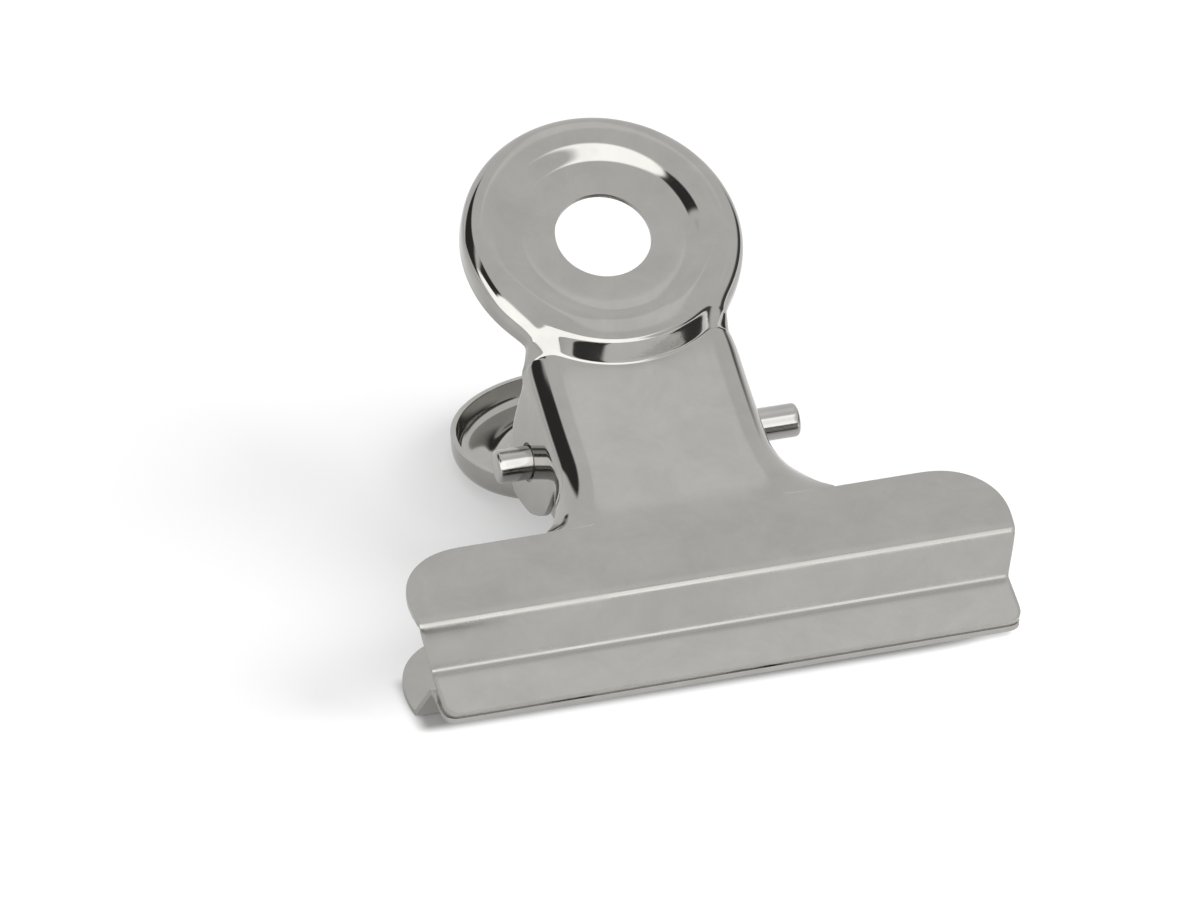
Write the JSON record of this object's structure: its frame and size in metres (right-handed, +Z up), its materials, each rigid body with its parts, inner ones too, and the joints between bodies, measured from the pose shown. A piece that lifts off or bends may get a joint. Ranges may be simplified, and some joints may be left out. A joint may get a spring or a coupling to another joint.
{
  "type": "bulldog clip",
  "caption": "Round-headed bulldog clip of bright nickel-plated sheet steel, with ridged wide jaws, hanging holes in the heads and a spring on the hinge pin.",
  "frame": {"origin": "middle of the footprint, on the surface that the clip lies on", "axes": "+X along the jaws and the hinge pin, +Y from the lips towards the heads, +Z up"},
  "size_m": [0.075, 0.0812, 0.0453],
  "materials": {
    "nickel_plate": "polished, with fine wiping marks",
    "pin_nickel": "bright, rolled",
    "spring_steel": "drawn wire"
  },
  "bodies": {
    "rear_half": {"rear_plate": "nickel_plate", "hinge_pin": "pin_nickel", "torsion_spring": "spring_steel"},
    "front_half": {"front_plate": "nickel_plate"}
  },
  "joints": [
    {"name": "hinge", "type": "hinge", "parent": "rear_half", "child": "front_half", "pos_m": [0, -0.00011, 0.01472], "axis": [-1, 0, 0], "range_deg": [0, 55], "stiffness_Nm_per_rad": 0.25, "springref_deg": -91.67, "deforming": ["torsion_spring"]}
  ]
}
